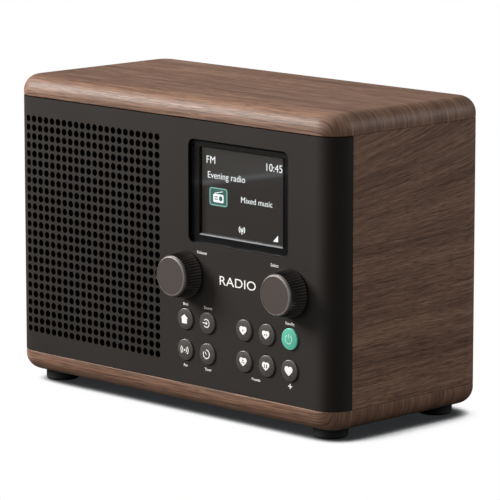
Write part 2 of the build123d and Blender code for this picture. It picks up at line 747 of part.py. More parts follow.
def chassis_screws():
    """The screws that hold the baffle, the speaker and both circuit boards."""
    screws = [screw(x, z, SPEAKER_FRONT, 5.5, -1) for x, z in baffle_screw_places()]
    screws += [screw(x, z, SPEAKER_FRONT + 1.4, 4.2, -1) for x, z in speaker_screw_places()]
    behind = BOARD_FRONT + CIRCUIT_BOARD
    screws += [screw(x, z, behind, 8, -1) for x, z in board_screw_places()]
    screws += [screw(x, z, MAIN_BOARD_Y, 8, 1) for x, z in main_board_screw_places()]
    return Compound(screws)


def all_nodes():
    """Every node's name and shape."""
    left, right = knob_places()
    nodes = {
        "top_board": top_board(),
        "bottom_board": bottom_board(),
        "left_side_panel": side_panel(-1),
        "right_side_panel": side_panel(1),
        "front_panel": front_panel(),
        "back_cover": back_cover(),
        "grille_cloth": grille_cloth(),
        "window_lens": window_lens(),
        "display_bezel": display_bezel(),
        "lcd_panel": lcd_panel(),
        "lcd_backlight": lcd_backlight(),
        "select_push_contact": select_push_contact(),
        "tact_switches": tact_switches(),
        "control_board": control_board(),
        "speaker_baffle": speaker_baffle(),
        "speaker_basket": speaker_basket(),
        "speaker_magnet": speaker_magnet(),
        "speaker_cone": speaker_cone(),
        "speaker_surround": speaker_surround(),
        "speaker_dust_cap": speaker_dust_cap(),
        "voice_coil": voice_coil(),
        "main_board": main_board(),
        "tuner_module": tuner_module(),
        "power_inlet": power_inlet(),
        "aux_socket": jack_socket(AUX_X),
        "headphone_socket": jack_socket(HEADPHONE_X),
        "speaker_lead": speaker_lead(),
        "antenna_lead": antenna_lead(),
        "ribbon_cable": ribbon_cable(),
        "display_flex": display_flex(),
        "antenna_turret": antenna_turret(),
        "antenna_pin": antenna_pin(),
        "antenna_knuckle": antenna_knuckle(),
        "antenna_tip": antenna_tip(),
        "feet": feet(),
        "foot_screws": foot_screws(),
        "cover_screws": cover_screws(),
        "chassis_screws": chassis_screws(),
    }
    for name, x in (("volume", left), ("select", right)):
        nodes[f"{name}_knob"] = knob(x)
        nodes[f"{name}_knob_cap"] = knob_cap(x)
        nodes[f"{name}_shaft"] = shaft(x)
        nodes[f"{name}_encoder"] = encoder(x)
    for name, x, z in button_places():
        nodes[f"button_{name}"] = button(x, z)
    for number in range(1, 5):
        nodes[f"antenna_tube_{number}"] = antenna_tube(number)
    return nodes


os.makedirs("parts", exist_ok=True)
for node_name, shape in all_nodes().items():
    export_step(shape, f"parts/{node_name}.step")
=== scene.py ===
"""The looks of the tabletop radio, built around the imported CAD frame.

Places and sizes of artwork and rings are in millimetres, and everything else is in metres.
"""

import json
import math

import bmesh
import bpy
from mathutils import Euler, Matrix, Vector


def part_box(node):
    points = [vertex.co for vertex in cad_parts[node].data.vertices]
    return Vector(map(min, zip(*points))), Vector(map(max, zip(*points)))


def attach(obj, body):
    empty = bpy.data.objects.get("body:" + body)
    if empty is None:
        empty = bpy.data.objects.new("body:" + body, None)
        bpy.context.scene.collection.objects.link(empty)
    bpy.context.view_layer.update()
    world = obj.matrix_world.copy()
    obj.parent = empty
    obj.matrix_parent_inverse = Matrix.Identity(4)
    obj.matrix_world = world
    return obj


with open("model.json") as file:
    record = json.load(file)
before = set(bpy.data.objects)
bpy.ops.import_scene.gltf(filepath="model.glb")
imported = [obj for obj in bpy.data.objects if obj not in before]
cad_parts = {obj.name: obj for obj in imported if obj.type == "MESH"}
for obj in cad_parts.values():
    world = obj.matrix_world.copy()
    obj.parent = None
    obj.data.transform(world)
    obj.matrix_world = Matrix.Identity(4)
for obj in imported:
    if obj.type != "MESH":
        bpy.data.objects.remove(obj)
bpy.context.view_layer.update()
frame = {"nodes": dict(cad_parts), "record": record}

MM = 0.001
AZIMUTH = 45  # degrees, the photo's view
ELEVATION = 10
CAMERA_PLACE = (1.1207, -1.1171, 0.3446)
LENS = 260.65
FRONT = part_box("front_panel")[0].y  # the front panel's outer face
SCREEN_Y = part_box("lcd_panel")[0].y
BORDER_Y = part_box("display_bezel")[0].y
COVER_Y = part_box("back_cover")[1].y
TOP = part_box("top_board")[1].z
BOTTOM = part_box("bottom_board")[0].z
KNOB_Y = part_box("volume_knob")[0].y  # the front edge of both knobs
KNOBS_MIDDLE = (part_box("volume_knob")[0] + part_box("select_knob")[1]) / 2
KNOBS_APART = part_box("select_knob")[0].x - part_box("volume_knob")[0].x
FLAT_REACH = 0.0885  # the front panel's face is flat this far from its middle, then curves back
DOME = 0.0265  # the radius of the buttons' domed faces
INK = 0.00006  # the thickness of print
BOLD = 0.012  # how much small print is fattened, in millimetres
CAPITALS = 0.7  # the height of the built-in typeface's capitals over its size


# ---------------------------------------------------------------- camera, floor and light

def make_camera():
    data = bpy.data.cameras.new("camera")
    data.sensor_width = 36.0
    data.lens = LENS
    data.clip_start = 0.05
    data.clip_end = 50.0
    camera = bpy.data.objects.new("camera", data)
    camera.location = CAMERA_PLACE
    camera.rotation_euler = Euler((math.radians(90 - ELEVATION), 0, math.radians(AZIMUTH)))
    bpy.context.scene.collection.objects.link(camera)
    bpy.context.scene.camera = camera


LIGHTS = (  # name, place, the height it points at, size, power, colour
    ("key", (-1.19, -0.86, 0.86), 0.08, 0.7, 50, (1.0, 0.97, 0.94)),
    ("overhead", (0.0, 0.1, 1.5), 0.1, 1.4, 3, (1.0, 1.0, 1.0)),
    ("front", (-0.45, -1.85, 0.65), 0.08, 0.8, 11, (1.0, 1.0, 1.0)),
    ("side", (1.3, 1.3, 0.75), 0.08, 0.9, 12, (1.0, 0.98, 0.95)),
)


def make_light(name, place, aim, size, power, colour):
    """A square soft light that points at the radio's upright axis."""
    data = bpy.data.lights.new(name, "AREA")
    data.size = size
    data.energy = power
    data.color = colour
    light = bpy.data.objects.new(name, data)
    light.location = place
    direction = Vector((0, 0, aim)) - Vector(place)
    light.rotation_euler = direction.to_track_quat("-Z", "Y").to_euler()
    bpy.context.scene.collection.objects.link(light)


def make_studio():
    """A white room that lights the radio less than it shows, with a white floor and four lights."""
    world = bpy.data.worlds.new("studio")
    world.use_nodes = True
    tree = world.node_tree
    seen = add(tree, "ShaderNodeLightPath").outputs["Is Camera Ray"]
    background = tree.nodes["Background"]
    background.inputs["Color"].default_value = (1.0, 0.995, 0.985, 1)
    tree.links.new(ease(tree, seen, 0, 1, 0.22, 1.0), background.inputs["Strength"])
    bpy.context.scene.world = world
    bpy.context.scene.view_settings.view_transform = "Standard"
    mesh = bpy.data.meshes.new("floor")
    reach = 12
    corners = [(-reach, -reach, 0), (reach, -reach, 0), (reach, reach, 0), (-reach, reach, 0)]
    mesh.from_pydata(corners, [], [(0, 1, 2, 3)])
    floor = bpy.data.objects.new("floor", mesh)
    bpy.context.scene.collection.objects.link(floor)
    mesh.materials.append(plain_floor())
    for light in LIGHTS:
        make_light(*light)


# ---------------------------------------------------------------- node helpers

def add(tree, kind, inputs=None, **settings):
    """A shader node. An input given a socket is linked to it, and any other value is set on it."""
    made = tree.nodes.new(kind)
    for key, value in settings.items():
        setattr(made, key, value)
    for key, value in (inputs or {}).items():
        if isinstance(value, bpy.types.NodeSocket):
            tree.links.new(value, made.inputs[key])
        else:
            made.inputs[key].default_value = value
    return made


def maths(tree, operation, first, second=0.5, third=0.5):
    inputs = {0: first, 1: second, 2: third}
    return add(tree, "ShaderNodeMath", inputs, operation=operation).outputs[0]


def split(tree, vector):
    """The x, y and z of a vector."""
    return add(tree, "ShaderNodeSeparateXYZ", {0: vector}).outputs


def joined(tree, x, y, z=0.0):
    """A vector of these."""
    return add(tree, "ShaderNodeCombineXYZ", {0: x, 1: y, 2: z}).outputs[0]


def ease(tree, value, low, high, to_low=0.0, to_high=1.0):
    """Goes smoothly from to_low to to_high as the value goes from low to high."""
    inputs = {"Value": value, "From Min": low, "From Max": high, "To Min": to_low, "To Max": to_high}
    return add(tree, "ShaderNodeMapRange", inputs, interpolation_type="SMOOTHSTEP").outputs[0]


def coordinates(tree, scale=(1, 1, 1)):
    """The place on the object in metres, times the scale."""
    place = add(tree, "ShaderNodeTexCoord").outputs["Object"]
    return add(tree, "ShaderNodeMapping", {"Vector": place, "Scale": scale}).outputs[0]


def noise(tree, vector, scale=1.0, detail=2.0, roughness=0.5, distortion=0.0):
    inputs = {"Vector": vector, "Scale": scale, "Detail": detail, "Roughness": roughness,
              "Distortion": distortion}
    return add(tree, "ShaderNodeTexNoise", inputs).outputs[0]


def ramp(tree, value, *stops):
    """A colour ramp of (place, colour) stops."""
    made = add(tree, "ShaderNodeValToRGB", {0: value})
    elements = made.color_ramp.elements
    while len(elements) < len(stops):
        elements.new(0.5)
    for element, (place, colour) in zip(elements, stops):
        element.position = place
        element.color = (*colour, 1)
    return made.outputs[0]


def mixed(tree, share, first, second):
    """A mix of two colours. Inputs 6 and 7 are the node's colours."""
    made = add(tree, "ShaderNodeMix", data_type="RGBA")
    for index, value in ((0, share), (6, first), (7, second)):
        if isinstance(value, bpy.types.NodeSocket):
            tree.links.new(value, made.inputs[index])
        elif index == 0:
            made.inputs[index].default_value = value
        else:
            made.inputs[index].default_value = (*value, 1)
    return made.outputs[2]


def bump(tree, height, distance, strength=1.0):
    inputs = {"Height": height, "Distance": distance, "Strength": strength}
    return add(tree, "ShaderNodeBump", inputs).outputs[0]


def new_material(name, **sockets):
    """A material with one Principled shader whose sockets are set by name, underscores for spaces."""
    made = bpy.data.materials.new(name)
    made.use_nodes = True
    shader = made.node_tree.nodes["Principled BSDF"]
    for key, value in sockets.items():
        if isinstance(value, tuple) and len(value) == 3:
            value = (*value, 1)
        shader.inputs[key.replace("_", " ")].default_value = value
    return made, made.node_tree, shader


def feed(tree, shader, **sockets):
    """Links a socket to each named input of the shader."""
    for key, value in sockets.items():
        tree.links.new(value, shader.inputs[key.replace("_", " ")])


# ---------------------------------------------------------------- materials

def plain_floor():
    """White, with a painted soft contact shadow of what stands on it, darkened by ambient occlusion about
    a normal tilted towards the key light. It throws back less light than it shows.
    """
    dim = dict(Base_Color=(0.12, 0.12, 0.12), Roughness=0.9, Specular_IOR_Level=0.0)
    made, tree, shader = new_material("plain_floor", **dim)
    towards_key = joined(tree, -0.30, -0.20, 0.93)
    inputs = {"Distance": 0.03, "Normal": towards_key}
    near = add(tree, "ShaderNodeAmbientOcclusion", inputs, samples=24).outputs["AO"]
    # painted shadow: the colour the camera sees darkens where ambient occlusion finds the radio near
    shade = ramp(
        tree, near,
        (0.0, (0.018, 0.02, 0.021)),
        (0.30, (0.030, 0.032, 0.034)),
        (0.40, (0.30, 0.30, 0.30)),
        (0.50, (0.92, 0.92, 0.92)),
        (0.60, (1.0, 1.0, 1.0)),
    )
    lit = add(tree, "ShaderNodeEmission", {"Color": shade}).outputs[0]
    seen = add(tree, "ShaderNodeLightPath").outputs["Is Camera Ray"]
    mix = add(tree, "ShaderNodeMixShader", {0: seen, 1: shader.outputs[0], 2: lit}).outputs[0]
    tree.links.new(mix, tree.nodes["Material Output"].inputs["Surface"])
    return made


def grain(tree, along, across, ripple, length):
    """Walnut veneer from the distances along and across the grain: its colour, roughness and height.

    The grain wanders by the ripple, and its fibres have the given length.
    """
    waves = joined(tree, maths(tree, "MULTIPLY", along, 160), maths(tree, "MULTIPLY", across, 60))
    across = maths(tree, "MULTIPLY_ADD", noise(tree, waves, 1.0, 1), ripple, across)

    def layer(length, width, detail, distortion, offset):
        """Streaks of this length and width. The offset keeps one layer unlike the others."""
        down = maths(tree, "MULTIPLY", along, 1 / length)
        over = maths(tree, "MULTIPLY", across, 1 / width)
        return noise(tree, joined(tree, down, over, offset), 1.0, detail, 0.55, distortion)

    bands = layer(0.16, 0.012, detail=2, distortion=0.3, offset=3.0)
    streaks = layer(0.06, 0.0015, detail=3, distortion=0.1, offset=7.0)
    fibres = layer(length, 0.0006, detail=3, distortion=0.0, offset=11.0)
    pores = layer(0.4 * length, 0.00036, detail=1, distortion=0.0, offset=17.0)
    tone = maths(tree, "MULTIPLY", bands, 0.25)
    tone = maths(tree, "MULTIPLY_ADD", streaks, 0.30, tone)
    tone = maths(tree, "MULTIPLY_ADD", fibres, 0.45, tone)
    colour = ramp(
        tree, tone,
        (0.39, (0.078, 0.037, 0.023)),
        (0.46, (0.150, 0.078, 0.049)),
        (0.53, (0.212, 0.117, 0.075)),
        (0.61, (0.300, 0.176, 0.117)),
    )
    pore = ease(tree, pores, 0.53, 0.62)
    colour = mixed(tree, maths(tree, "MULTIPLY", pore, 0.55), colour, (0.045, 0.021, 0.013))
    roughness = maths(tree, "MULTIPLY_ADD", fibres, 0.12, 0.46)
    height = maths(tree, "MULTIPLY_ADD", pore, -0.8, fibres)
    return colour, roughness, height


def finish_veneer(tree, shader, along, across, ripple, length):
    """Gives the shader the look of grain()."""
    colour, roughness, height = grain(tree, along, across, ripple, length)
    relief = bump(tree, height, 0.00006, 0.5)
    feed(tree, shader, Base_Color=colour, Roughness=roughness, Normal=relief)


def board_veneer(name, plane):
    """Grain along X that bends over each rounded edge, from the board's flat face at the height plane."""
    gloss = dict(Specular_IOR_Level=0.3, Coat_Weight=0.05, Coat_Roughness=0.35)
    made, tree, shader = new_material(name, **gloss)
    source = add(tree, "ShaderNodeTexCoord")
    x, y, z = split(tree, source.outputs["Object"])
    facing_x, facing_y, _ = split(tree, source.outputs["Normal"])
    drop = maths(tree, "ABSOLUTE", maths(tree, "SUBTRACT", z, plane))
    sideways = maths(tree, "POWER", facing_x, 2)
    forwards = maths(tree, "POWER", facing_y, 2)
    total = maths(tree, "ADD", maths(tree, "ADD", sideways, forwards), 0.0001)  # never zero
    side = ease(tree, maths(tree, "DIVIDE", sideways, total), 0.1, 0.9)
    end_drop = maths(tree, "MULTIPLY", side, drop)
    along = maths(tree, "MULTIPLY_ADD", maths(tree, "SIGN", x), end_drop, x)
    front_drop = maths(tree, "SUBTRACT", drop, end_drop)
    across = maths(tree, "MULTIPLY_ADD", maths(tree, "SIGN", y), front_drop, y)
    finish_veneer(tree, shader, along, across, ripple=0.0003, length=0.026)
    return made


def side_veneer(name):
    """Grain from front to back, level at the foot of the panel and climbing towards its top."""
    made, tree, shader = new_material(name, Specular_IOR_Level=0.3)
    x, y, z = split(tree, add(tree, "ShaderNodeTexCoord").outputs["Object"])
    climb = ease(tree, z, 0.07, 0.135, 0.03, 0.30)
    from_back = maths(tree, "SUBTRACT", y, 0.05)
    across = maths(tree, "SUBTRACT", z, maths(tree, "MULTIPLY", climb, from_back))
    across = maths(tree, "MULTIPLY_ADD", x, 0.3, across)  # the left and right panels differ
    finish_veneer(tree, shader, y, across, ripple=0.0009, length=0.014)
    return made


def moulded(name, dark, light, roughness, grain_size=0.0005, depth=0.00003, **sockets):
    """Moulded plastic with a fine spark-eroded texture and slight colour variation."""
    made, tree, shader = new_material(name, **sockets)
    vector = coordinates(tree)
    fine = noise(tree, vector, 1 / grain_size, 3)
    broad = noise(tree, vector, 22.0, 2)
    tone = maths(tree, "MULTIPLY_ADD", fine, 0.35, maths(tree, "MULTIPLY", broad, 0.65))
    colour = ramp(tree, tone, (0.35, dark), (0.65, light))
    feed(tree, shader, Base_Color=colour, Normal=bump(tree, fine, depth, 0.6),
         Roughness=ease(tree, fine, 0.3, 0.7, roughness - 0.05, roughness + 0.05))
    return made


def front_plastic(name):
    """Warm dark grey with a fine matt texture. The walls of the perforations are painted near black as
    shade inside the holes.
    """
    made, tree, shader = new_material(name, Specular_IOR_Level=0.16)
    vector = coordinates(tree)
    x, y, _ = split(tree, vector)
    fine = noise(tree, vector, 2200.0, 3)
    broad = noise(tree, vector, 18.0, 2)
    tone = maths(tree, "MULTIPLY_ADD", fine, 0.35, maths(tree, "MULTIPLY", broad, 0.65))
    colour = ramp(tree, tone, (0.35, (0.0170, 0.0140, 0.0120)), (0.65, (0.0215, 0.0178, 0.0154)))
    # painted shade: faces set back from the flat front, the perforation walls, are coloured near black
    depth = ease(tree, y, FRONT + 0.00005, FRONT + 0.0003)
    flat = maths(tree, "LESS_THAN", maths(tree, "ABSOLUTE", x), FLAT_REACH)
    hole_shade = maths(tree, "MULTIPLY", depth, flat)
    colour = mixed(tree, hole_shade, colour, (0.002, 0.002, 0.002))
    feed(tree, shader, Base_Color=colour, Normal=bump(tree, fine, 0.00003, 0.6),
         Roughness=ease(tree, fine, 0.3, 0.7, 0.5, 0.6))
    return made


def button_plastic(name, dark, light, lit_rim):
    """Textured plastic with a paler rim and wall, painted lighter as a highlight."""
    made, tree, shader = new_material(name, Specular_IOR_Level=0.5)
    source = add(tree, "ShaderNodeTexCoord")
    _, facing, _ = split(tree, source.outputs["Normal"])
    fine = noise(tree, source.outputs["Object"], 2200.0, 3)
    face = ramp(tree, fine, (0.35, dark), (0.65, light))
    # painted highlight: where the face turns away from the front, the paler rim colour is mixed in
    rim_highlight = ease(tree, maths(tree, "ABSOLUTE", facing), 0.75, 0.97, 1.0, 0.0)
    colour = mixed(tree, rim_highlight, face, lit_rim)
    feed(tree, shader, Base_Color=colour, Normal=bump(tree, fine, 0.00004, 0.6),
         Roughness=ease(tree, fine, 0.3, 0.7, 0.32, 0.42))
    return made


def knob_skirt(name):
    """Dark ridges with paler crests painted on as highlights, behind a satin collar that is brighter than
    the cap.
    """
    made, tree, shader = new_material(name, Specular_IOR_Level=0.5, Roughness=0.32)
    vector = coordinates(tree)
    x, y, z = split(tree, vector)
    fine = noise(tree, vector, 2400.0, 3)
    collar = ease(tree, y, KNOB_Y + 0.0011, KNOB_Y + 0.0014, 1.0, 0.0)
    sideways = maths(tree, "ABSOLUTE", maths(tree, "SUBTRACT", x, KNOBS_MIDDLE.x))
    off_x = maths(tree, "SUBTRACT", sideways, KNOBS_APART / 2)
    off_z = maths(tree, "SUBTRACT", z, KNOBS_MIDDLE.z)
    off = joined(tree, off_x, off_z)
    reach = add(tree, "ShaderNodeVectorMath", {0: off}, operation="LENGTH").outputs["Value"]
    behind = maths(tree, "SUBTRACT", y, KNOB_Y)
    valley = maths(tree, "MULTIPLY_ADD", behind, 0.09, 0.0090)  # the skirt widens towards the panel
    # painted highlight: the outermost part of each ridge is coloured paler
    crest_highlight = ease(tree, maths(tree, "SUBTRACT", reach, valley), 0.0, 0.0005)
    dark = ramp(tree, fine, (0.35, (0.030, 0.027, 0.026)), (0.65, (0.042, 0.038, 0.036)))
    dark = mixed(tree, crest_highlight, dark, (0.115, 0.105, 0.098))
    satin = ramp(tree, fine, (0.35, (0.55, 0.51, 0.49)), (0.65, (0.66, 0.62, 0.60)))
    feed(tree, shader, Base_Color=mixed(tree, collar, dark, satin), Normal=bump(tree, fine, 0.00002, 0.4),
         Metallic=maths(tree, "MULTIPLY", collar, 0.7))
    return made


def metal(name, colour, roughness, stretch=(1, 1, 1), depth=0.000004):
    """Metal with fine lines, drawn out along the axes whose stretch is small."""
    made, tree, shader = new_material(name, Metallic=1.0)
    vector = coordinates(tree, tuple(2500 * s for s in stretch))
    lines = noise(tree, vector, 1.0, 3, 0.6)
    smudge = noise(tree, coordinates(tree), 60.0, 2)
    dark = tuple(0.86 * c for c in colour)
    lined = maths(tree, "MULTIPLY_ADD", lines, 0.06, roughness)
    feed(tree, shader, Base_Color=ramp(tree, lines, (0.3, dark), (0.7, colour)),
         Roughness=maths(tree, "MULTIPLY_ADD", smudge, 0.12, lined), Normal=bump(tree, lines, depth, 0.5))
    return made


def woven_cloth(name):
    """Black acoustic cloth: plain weave threads at 0.5 mm."""
    matt = dict(Roughness=0.95, Specular_IOR_Level=0.1, Sheen_Weight=0.1)
    made, tree, shader = new_material(name, **matt)
    x, _, z = split(tree, coordinates(tree))
    threads = 2 * math.pi / 0.0005
    warp = maths(tree, "SINE", maths(tree, "MULTIPLY", x, threads))
    weft = maths(tree, "SINE", maths(tree, "MULTIPLY", z, threads))
    height = maths(tree, "MULTIPLY", warp, weft)
    colour = ramp(tree, height, (0.0, (0.0012, 0.0012, 0.0012)), (1.0, (0.006, 0.006, 0.006)))
    feed(tree, shader, Base_Color=colour, Normal=bump(tree, height, 0.0001))
    return made


def lens_glass(name):
    """Clear lens: what is behind it shows, with the gloss of its surface over that."""
    made = bpy.data.materials.new(name)
    made.use_nodes = True
    tree = made.node_tree
    tree.nodes.remove(tree.nodes["Principled BSDF"])
    shine = add(tree, "ShaderNodeFresnel", {"IOR": 1.10}).outputs[0]
    clear = add(tree, "ShaderNodeBsdfTransparent", {"Color": (0.96, 0.97, 0.98, 1)}).outputs[0]
    smudge = ease(tree, noise(tree, coordinates(tree), 25.0, 1), 0.3, 0.8, 0.02, 0.05)
    gloss = add(tree, "ShaderNodeBsdfGlossy", {"Roughness": smudge}).outputs[0]
    mix = add(tree, "ShaderNodeMixShader", {0: shine, 1: clear, 2: gloss}).outputs[0]
    tree.links.new(mix, tree.nodes["Material Output"].inputs["Surface"])
    return made


def slanted(tree, low, high):
    """Goes from 0 to 1 between two heights, in bands that slope like the painted reflection streak on the
    window.
    """
    x, _, z = split(tree, coordinates(tree))
    return ease(tree, maths(tree, "MULTIPLY_ADD", x, -0.19, z), low, high)


def border(name):
    """Printed black round the display, with the same painted soft reflection streak across it as the
    display has.
    """
    made, tree, shader = new_material(name, Specular_IOR_Level=0.15)
    fine = noise(tree, coordinates(tree), 1800.0, 2)
    # painted reflection: a lighter soft streak along the slanted band
    colour = ramp(
        tree, slanted(tree, 0.092, 0.108),
        (0.0, (0.0030, 0.0026, 0.0024)),
        (0.3, (0.0034, 0.0030, 0.0028)),
        (0.5, (0.020, 0.020, 0.020)),
        (0.7, (0.006, 0.0055, 0.005)),
        (1.0, (0.0035, 0.0030, 0.0028)),
    )
    feed(tree, shader, Base_Color=colour, Roughness=ease(tree, fine, 0.3, 0.7, 0.36, 0.44),
         Normal=bump(tree, fine, 0.00001, 0.4))
    return made


def screen_face(name):
    """The lit display: dark grey, with a painted soft reflection streak and a painted lighter reflection
    above it, and its pixel rows.
    """
    lit = dict(Roughness=0.35, Specular_IOR_Level=0.2, Emission_Strength=1.0)
    made, tree, shader = new_material(name, **lit)
    # glow with painted reflection: the streak and the part above it are lighter
    glow_and_painted_reflection = ramp(
        tree, slanted(tree, 0.090, 0.108),
        (0.0, (0.024, 0.019, 0.016)),
        (0.36, (0.027, 0.022, 0.019)),
        (0.52, (0.078, 0.077, 0.076)),
        (0.66, (0.046, 0.041, 0.036)),
        (1.0, (0.040, 0.035, 0.030)),
    )
    _, _, z = split(tree, coordinates(tree))
    rows = maths(tree, "SINE", maths(tree, "MULTIPLY", z, 2 * math.pi / 0.00015))
    cells = ramp(tree, rows, (0.0, (0.006, 0.006, 0.006)), (1.0, (0.01, 0.01, 0.01)))
    feed(tree, shader, Emission_Color=glow_and_painted_reflection, Base_Color=cells)
    return made


def ledge_satin(name):
    """Dark beside the display, and painted bright along the lip at the front as a highlight."""
    made, tree, shader = new_material(name, Specular_IOR_Level=0.5)
    vector = coordinates(tree)
    _, y, _ = split(tree, vector)
    fine = noise(tree, vector, 1800.0, 2)
    # painted highlight: the lip at the front is coloured bright
    lip_highlight = ease(tree, y, BORDER_Y + 0.0003, BORDER_Y + 0.0010, 1.0, 0.0)
    feed(tree, shader, Base_Color=mixed(tree, lip_highlight, (0.035, 0.034, 0.033), (0.42, 0.42, 0.42)),
         Roughness=ease(tree, fine, 0.3, 0.7, 0.3, 0.4))
    return made


def glowing(name, colour, strength=1.0):
    """Lit picture elements on the display, with a slight unevenness."""
    lit = dict(Base_Color=(0.02, 0.02, 0.02), Roughness=0.5, Emission_Strength=strength)
    made, tree, shader = new_material(name, **lit)
    low = tuple(0.93 * c for c in colour)
    uneven = noise(tree, coordinates(tree), 900.0)
    feed(tree, shader, Emission_Color=ramp(tree, uneven, (0.3, low), (0.7, colour)))
    return made


def printed(name, colour):
    """Screen-printed ink with slightly uneven cover."""
    made, tree, shader = new_material(name, Roughness=0.55, Specular_IOR_Level=0.3)
    low = tuple(0.88 * c for c in colour)
    cover = noise(tree, coordinates(tree), 2600.0, 2)
    feed(tree, shader, Base_Color=ramp(tree, cover, (0.35, low), (0.65, colour)),
         Normal=bump(tree, cover, 0.00001, 0.4))
    return made


def circuit_board(name):
    """Green solder mask with tracks showing through."""
    made, tree, shader = new_material(name, Roughness=0.35)
    cells = add(tree, "ShaderNodeTexVoronoi", {"Vector": coordinates(tree), "Scale": 320.0},
                feature="DISTANCE_TO_EDGE").outputs[0]
    colour = ramp(tree, cells, (0.04, (0.05, 0.19, 0.08)), (0.12, (0.015, 0.09, 0.035)))
    feed(tree, shader, Base_Color=colour, Normal=bump(tree, cells, 0.00004, 0.4))
    return made


def fibrous(name, dark, light):
    """Pressed fibre or paper."""
    made, tree, shader = new_material(name, Roughness=0.85, Specular_IOR_Level=0.2)
    strands = noise(tree, coordinates(tree, (1, 0.4, 1.7)), 1000.0, 5, 0.7, 0.6)
    feed(tree, shader, Base_Color=ramp(tree, strands, (0.3, dark), (0.7, light)),
         Normal=bump(tree, strands, 0.0001, 0.5))
    return made


def slot_materials():
    """The finish of each material slot in the record."""
    matt = dict(Specular_IOR_Level=0.3)
    satin = dict(Specular_IOR_Level=0.5, Metallic=0.2)
    ferrite = dict(Metallic=0.6)
    recipes = {  # slot: the function that makes it, its values, and its shader's plain settings
        "front_plastic": (front_plastic, (), {}),
        "back_plastic": (
            moulded, ((0.024, 0.022, 0.021), (0.034, 0.031, 0.030), 0.55, 0.0007, 0.00005), matt),
        "cloth": (woven_cloth, (), {}),
        "lens": (lens_glass, (), {}),
        "border": (border, (), {}),
        "screen": (screen_face, (), {}),
        "tray": (moulded, ((0.5, 0.5, 0.5), (0.62, 0.62, 0.62), 0.5), {}),
        "knob_skirt": (knob_skirt, (), {}),
        "knob_face": (
            moulded, ((0.056, 0.043, 0.038), (0.069, 0.054, 0.047), 0.4, 0.0004, 0.00002), satin),
        # the third colour of each button finish is its painted rim highlight
        "button": (
            button_plastic, ((0.034, 0.030, 0.028), (0.062, 0.055, 0.051), (0.125, 0.114, 0.106)), {}),
        "standby_button": (
            button_plastic, ((0.075, 0.38, 0.27), (0.095, 0.45, 0.33), (0.16, 0.60, 0.46)), {}),
        "steel": (metal, ((0.55, 0.55, 0.56), 0.3, (1, 1, 0.05)), {}),
        "chrome": (metal, ((0.78, 0.78, 0.79), 0.08, (0.02, 1, 1), 0.000001), {}),
        "zinc_screw": (metal, ((0.32, 0.32, 0.33), 0.35), {}),
        "circuit_board": (circuit_board, (), {}),
        "switch": (moulded, ((0.02, 0.02, 0.02), (0.035, 0.035, 0.035), 0.5), {}),
        "socket": (moulded, ((0.012, 0.012, 0.012), (0.02, 0.02, 0.02), 0.45), {}),
        "fibreboard": (fibrous, ((0.25, 0.17, 0.10), (0.42, 0.31, 0.20)), {}),
        "magnet": (moulded, ((0.05, 0.05, 0.055), (0.085, 0.085, 0.09), 0.6, 0.0008, 0.0001), ferrite),
        "cone_paper": (fibrous, ((0.02, 0.02, 0.02), (0.055, 0.055, 0.055)), {}),
        "surround_rubber": (moulded, ((0.012, 0.012, 0.012), (0.02, 0.02, 0.02), 0.65), matt),
        "foot_rubber": (
            moulded, ((0.006, 0.006, 0.006), (0.011, 0.011, 0.011), 0.75, 0.0006, 0.00008), matt),
        "wire": (moulded, ((0.015, 0.015, 0.015), (0.03, 0.03, 0.03), 0.5), {}),
        "flat_cable": (moulded, ((0.5, 0.5, 0.48), (0.62, 0.62, 0.6), 0.45), {}),
    }
    return {slot: make(slot, *values, **plain) for slot, (make, values, plain) in recipes.items()}


def dress_frame(finishes):
    """Gives every CAD node its slot's material, and each wooden piece its own veneer."""
    own = {
        "top_board": board_veneer("veneer_top", TOP),
        "bottom_board": board_veneer("veneer_bottom", BOTTOM),
        "left_side_panel": side_veneer("veneer_left"),
        "right_side_panel": side_veneer("veneer_right"),
    }
    for part in frame["record"]["subparts"]:
        name = part["node"]
        mesh = frame["nodes"][name].data
        mesh.materials.clear()
        mesh.materials.append(own.get(name) or finishes[part["material_slot"]])


# ---------------------------------------------------------------- flat artwork in the XZ plane

def arc(radius, start, end, steps=28, centre=(0, 0)):
    """Points along an arc, from start to end degrees."""
    turn = [math.radians(start + (end - start) * i / steps) for i in range(steps + 1)]
    return [(centre[0] + radius * math.cos(a), centre[1] + radius * math.sin(a)) for a in turn]


def band(outer, inner, start, end):
    """The outline of a bent bar, from start to end degrees."""
    return arc(outer, start, end) + arc(inner, end, start)


def circle(radius, centre=(0, 0), steps=28):
    return arc(radius, 0, 360, steps, centre)[:-1]


def bar(x0, x1, z0, z1):
    """An upright or level rectangle between these places."""
    return [(x0, z0), (x1, z0), (x1, z1), (x0, z1)]


def rounded(width, height, radius, centre=(0, 0)):
    """A rectangle with round corners."""
    points = []
    corners = ((1, 1, 0), (-1, 1, 90), (-1, -1, 180), (1, -1, 270))
    for sx, sz, start in corners:
        middle = (centre[0] + sx * (width / 2 - radius), centre[1] + sz * (height / 2 - radius))
        points += arc(radius, start, start + 90, 6, middle)
    return points


def heart(size):
    """A plump heart, size wide, by a sum of cosines."""
    points = []
    steps = 48
    for i in range(steps):
        turn = 2 * math.pi * i / steps
        x = 16 * math.sin(turn) * abs(math.sin(turn)) ** 0.9
        z = 13.8 * math.cos(turn) - 3.1 * math.cos(2 * turn)
        z -= 1.1 * math.cos(3 * turn) + 0.7 * math.cos(4 * turn)
        points.append((x * size / 32, (z + 2.0) * size / 32))
    return points


def dot_places(count):
    """The centres of the dots that number a preset."""
    gap = 0.62
    return {
        1: [(0, 0)],
        2: [(-gap, 0), (gap, 0)],
        3: [(0, gap), (-gap, -gap * 0.5), (gap, -gap * 0.5)],
        4: [(-gap, gap * 0.7), (gap, gap * 0.7), (-gap, -gap * 0.6), (gap, -gap * 0.6)],
    }[count]


